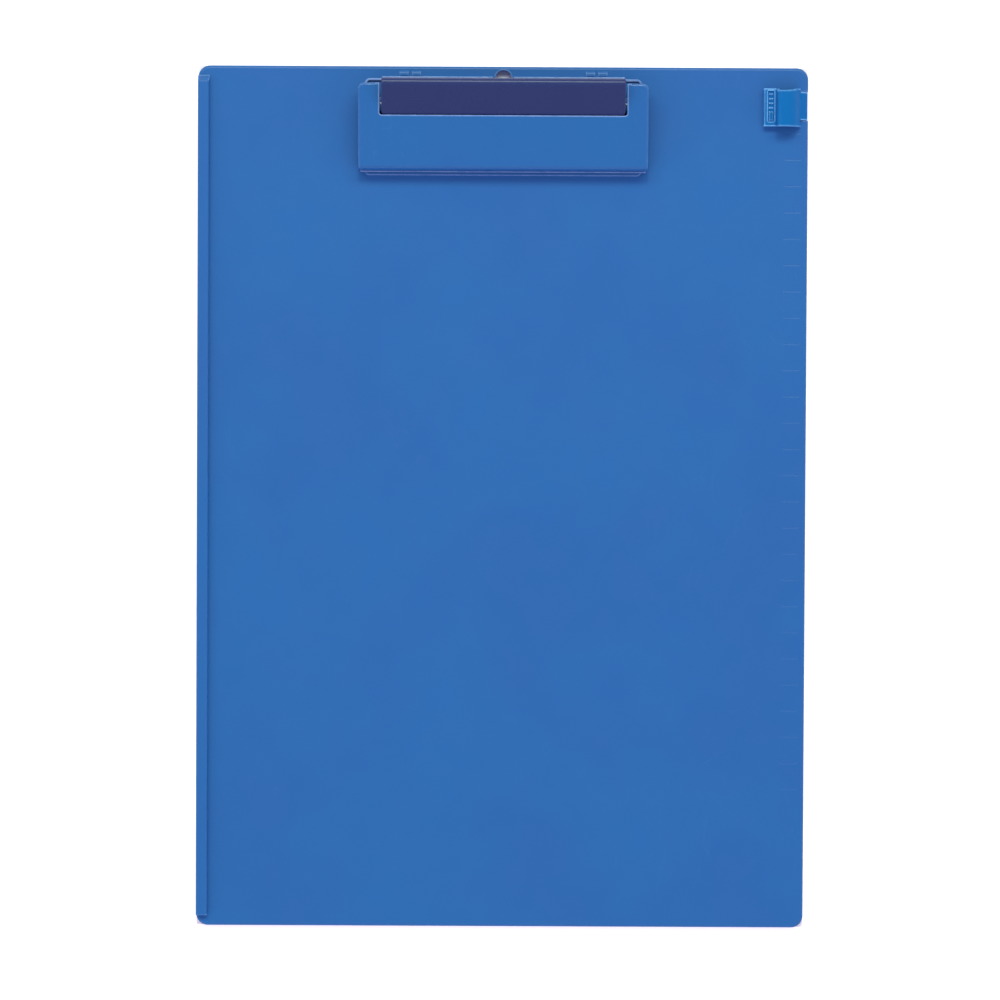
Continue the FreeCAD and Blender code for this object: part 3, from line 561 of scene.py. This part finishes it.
def finish_tree(tree, mesh, finish, made):
    """Makes what was built real, and sets its material."""
    real = add_node(tree, "GeometryNodeRealizeInstances")
    tree.links.new(mesh, real.inputs["Geometry"])
    finished = add_node(tree, "GeometryNodeSetMaterial")
    tree.links.new(real.outputs["Geometry"], finished.inputs["Geometry"])
    tree.links.new(finish, finished.inputs["Material"])
    tree.links.new(finished.outputs["Geometry"], made.inputs["Geometry"])


def four_corners():
    """The object's own mesh at the four corners of an oblong, each turned a little differently."""
    tree, names, given, made = geometry_tree("four_corners", [
        ("Across", "NodeSocketFloat"), ("Along", "NodeSocketFloat"), ("Middle", "NodeSocketVector"),
        ("Finish", "NodeSocketMaterial"),
    ])
    value = given.outputs
    grid = add_node(tree, "GeometryNodeMeshGrid")
    grid.inputs["Vertices X"].default_value = 2
    grid.inputs["Vertices Y"].default_value = 2
    tree.links.new(value["Across"], grid.inputs["Size X"])
    tree.links.new(value["Along"], grid.inputs["Size Y"])
    moved = add_node(tree, "GeometryNodeTransform")
    tree.links.new(grid.outputs["Mesh"], moved.inputs["Geometry"])
    tree.links.new(value["Middle"], moved.inputs["Translation"])
    turn = add_node(tree, "FunctionNodeRandomValue", data_type="FLOAT_VECTOR")
    vectors = [s for s in turn.inputs if s.type == "VECTOR"]
    vectors[0].default_value = (0, 0, 0)
    vectors[1].default_value = (0, 0, math.pi)
    turn.inputs["Seed"].default_value = rivet_turn_seed
    turned = next(s for s in turn.outputs if s.type == "VECTOR")
    placed = add_node(tree, "GeometryNodeInstanceOnPoints")
    tree.links.new(moved.outputs["Geometry"], placed.inputs["Points"])
    tree.links.new(value["Geometry"], placed.inputs["Instance"])
    tree.links.new(turned, placed.inputs["Rotation"])
    finish_tree(tree, placed.outputs["Instances"], value["Finish"], made)
    return tree, names


def grown(name, seed_mesh, tree, names, values):
    """A plain mesh object from a seed mesh and a geometry tree with its values."""
    seed = bpy.data.objects.new(name + "_seed", seed_mesh)
    bpy.context.scene.collection.objects.link(seed)
    modifier = seed.modifiers.new(name, "NODES")
    modifier.node_group = tree
    for label, value in values.items():
        modifier[names[label]] = value
    bpy.context.view_layer.update()
    mesh = bpy.data.meshes.new_from_object(seed.evaluated_get(bpy.context.evaluated_depsgraph_get()))
    mesh.name = name
    seed.modifiers.clear()
    bpy.data.objects.remove(seed)
    piece = bpy.data.objects.new(name, mesh)
    bpy.context.scene.collection.objects.link(piece)
    bm = bmesh.new()
    bm.from_mesh(mesh)
    bmesh.ops.recalc_face_normals(bm, faces=bm.faces)
    for face in bm.faces:
        face.smooth = True
    for edge in bm.edges:
        edge.smooth = len(edge.link_faces) == 2 and edge.calc_face_angle(0.0) < math.radians(sharp_angle_deg)
    bm.to_mesh(mesh)
    bm.free()
    return piece


def turned_mesh(name, outline):
    """One round piece from half of its outline, as radius and height in millimetres."""
    bm = bmesh.new()
    rim = [bm.verts.new((radius * MM, 0, height * MM)) for radius, height in outline]
    edges = [bm.edges.new(pair) for pair in zip(rim, rim[1:])]
    bmesh.ops.spin(
        bm, geom=rim + edges, axis=(0, 0, 1), cent=(0, 0, 0),
        steps=rivet_facets, angle=2 * math.pi, use_merge=True,
    )
    bmesh.ops.remove_doubles(bm, verts=bm.verts, dist=1e-7)
    mesh = bpy.data.meshes.new(name)
    bm.to_mesh(mesh)
    bm.free()
    return mesh


def springs():
    """A pair of mirrored springs wound round the hinge pin, each with a straight leg at both ends; they stand
    in for the plain spring solids.
    """
    tree, names = wound_wire()
    pin = Vector(joints["clip_hinge"]["pos_m"])
    rise = coil_pitch / (2 * math.pi)
    per_turned = math.hypot(coil_radius, rise)
    turned = 2 * math.pi * coil_turns
    for side, word in ((1, "right"), (-1, "left")):
        seed = bpy.data.meshes.new("wire")
        piece = grown("wound_spring_" + word, seed, tree, names, {
            "Side": float(side), "Start": coil_start, "Pin Y": pin.y, "Pin Z": pin.z,
            "Coil radius": coil_radius, "Rise": rise, "Turned": turned,
            "First leg": base_leg / per_turned, "Last leg": lever_leg / per_turned,
            "Wire radius": wire_radius, "Points": spring_points, "Facets": spring_facets,
            "Finish": spring_material,
        })
        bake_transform(piece)
        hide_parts("torsion_spring_" + word)


def rivets_and_washers():
    """The four rivets and the four washers, each from one turned piece."""
    tree, names = four_corners()
    for name, node, outline, radius in (
        ("domed_rivets", "base_rivets", rivet_outline, rivet_head_radius),
        ("stamped_washers", "rivet_washers", washer_outline, washer_radius),
    ):
        low, high = (Vector(corner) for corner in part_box(node))
        middle = (low + high) / 2
        piece = grown(name, turned_mesh(name + "_one", outline), tree, names, {
            "Across": high.x - low.x - 2 * radius,
            "Along": high.y - low.y - 2 * radius,
            "Middle": (middle.x, middle.y, 0.0),
            "Finish": rivet_material,
        })
        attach(piece, "board")
        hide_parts(node)


springs()
rivets_and_washers()


def floor():
    """Pale paper under the board. It keeps the shadow, and is lifted to white only beside the board."""
    mesh = bpy.data.meshes.new("floor")
    half = floor_side / 2
    corners = [(-half, -half, 0), (half, -half, 0), (half, half, 0), (-half, half, 0)]
    mesh.from_pydata(corners, [], [(0, 1, 2, 3)])
    floor_object = bpy.data.objects.new("floor", mesh)
    bpy.context.scene.collection.objects.link(floor_object)
    material, tree, shader = new_material("floor_paper")
    tree.nodes.remove(shader)
    camera_rays, seen = seen_rays(tree)
    paper = add_node(tree, "ShaderNodeBsdfDiffuse")
    tree.links.new(mix_colours(tree, seen, floor_bounce_colour, floor_colour), paper.inputs["Color"])
    lift = add_node(tree, "ShaderNodeEmission")
    places = add_node(tree, "ShaderNodeSeparateXYZ")
    tree.links.new(add_node(tree, "ShaderNodeTexCoord").outputs["Object"], places.inputs["Vector"])
    outside = []
    for axis, board_half in (("X", cad_high[0]), ("Y", cad_high[1])):
        away = math_of(tree, "ABSOLUTE", places.outputs[axis], 0.0)
        outside.append(math_of(tree, "GREATER_THAN", away, board_half))
    lifted = math_of(tree, "MULTIPLY", camera_rays, most_of(tree, *outside))
    tree.links.new(math_of(tree, "MULTIPLY", lifted, floor_lift), lift.inputs["Strength"])
    both = add_node(tree, "ShaderNodeAddShader")
    tree.links.new(paper.outputs["BSDF"], both.inputs[0])
    tree.links.new(lift.outputs["Emission"], both.inputs[1])
    output = next(n for n in tree.nodes if n.type == "OUTPUT_MATERIAL")
    tree.links.new(both.outputs["Shader"], output.inputs["Surface"])
    mesh.materials.append(material)


def world():
    """Even fill light. The camera sees white; gloss sees the studio white at the sides and dim overhead."""
    made = bpy.data.worlds.new("studio")
    bpy.context.scene.world = made
    made.use_nodes = True
    tree = made.node_tree
    tree.nodes.clear()
    camera_rays, seen = seen_rays(tree)
    upward = add_node(tree, "ShaderNodeSeparateXYZ")
    tree.links.new(add_node(tree, "ShaderNodeTexCoord").outputs["Generated"], upward.inputs["Vector"])
    overhead = ramp_of(tree, upward.outputs["Z"], 0.0, ceiling_start)
    studio = mix_colours(tree, overhead, (1.0, 1.0, 1.0), ceiling_colour)
    studio = mix_colours(tree, camera_rays, studio, (1.0, 1.0, 1.0))
    fill = add_node(tree, "ShaderNodeBackground")
    fill.inputs["Color"].default_value = (*fill_colour, 1.0)
    sides = math_of(tree, "MULTIPLY", upward.outputs["X"], upward.outputs["X"])
    front = math_of(tree, "MAXIMUM", math_of(tree, "MULTIPLY", upward.outputs["Y"], -1.0), 0.0)
    level = math_of(tree, "ADD", math_of(tree, "MULTIPLY", sides, fill_sides), fill_overhead)
    level = math_of(tree, "ADD", level, math_of(tree, "MULTIPLY", front, fill_front))
    tree.links.new(level, fill.inputs["Strength"])
    white = add_node(tree, "ShaderNodeBackground")
    tree.links.new(studio, white.inputs["Color"])
    mixed = add_node(tree, "ShaderNodeMixShader")
    tree.links.new(seen, mixed.inputs["Fac"])
    tree.links.new(fill.outputs["Background"], mixed.inputs[1])
    tree.links.new(white.outputs["Background"], mixed.inputs[2])
    output = add_node(tree, "ShaderNodeOutputWorld")
    tree.links.new(mixed.outputs["Shader"], output.inputs["Surface"])


def key_light(name, length, height, power):
    """A soft lamp off the clip end, aimed at the middle of the board."""
    lamp = bpy.data.lights.new(name, "AREA")
    lamp.shape = "RECTANGLE"
    lamp.size = length
    lamp.size_y = height
    lamp.energy = power
    lamp.color = key_colour
    lamp_object = bpy.data.objects.new(name, lamp)
    bpy.context.scene.collection.objects.link(lamp_object)
    angle = math.radians(key_elevation_deg)
    place = Vector((0, math.cos(angle), math.sin(angle))) * key_distance
    lamp_object.location = place
    lamp_object.rotation_euler = (-place).to_track_quat("-Z", "Y").to_euler()


def camera():
    """The photo's view, from above and nearly straight down."""
    data = bpy.data.cameras.new("camera")
    data.lens = camera_lens
    data.sensor_width = camera_sensor
    camera_object = bpy.data.objects.new("camera", data)
    bpy.context.scene.collection.objects.link(camera_object)
    camera_object.location = camera_place
    camera_object.rotation_euler = [math.radians(a) for a in camera_tilt_deg]
    bpy.context.scene.camera = camera_object


floor()
world()
key_light("long_lamp", key_length, key_height, key_power)
key_light("core_lamp", core_side, core_side, core_power)
camera()
bpy.context.scene.view_settings.view_transform = "Standard"
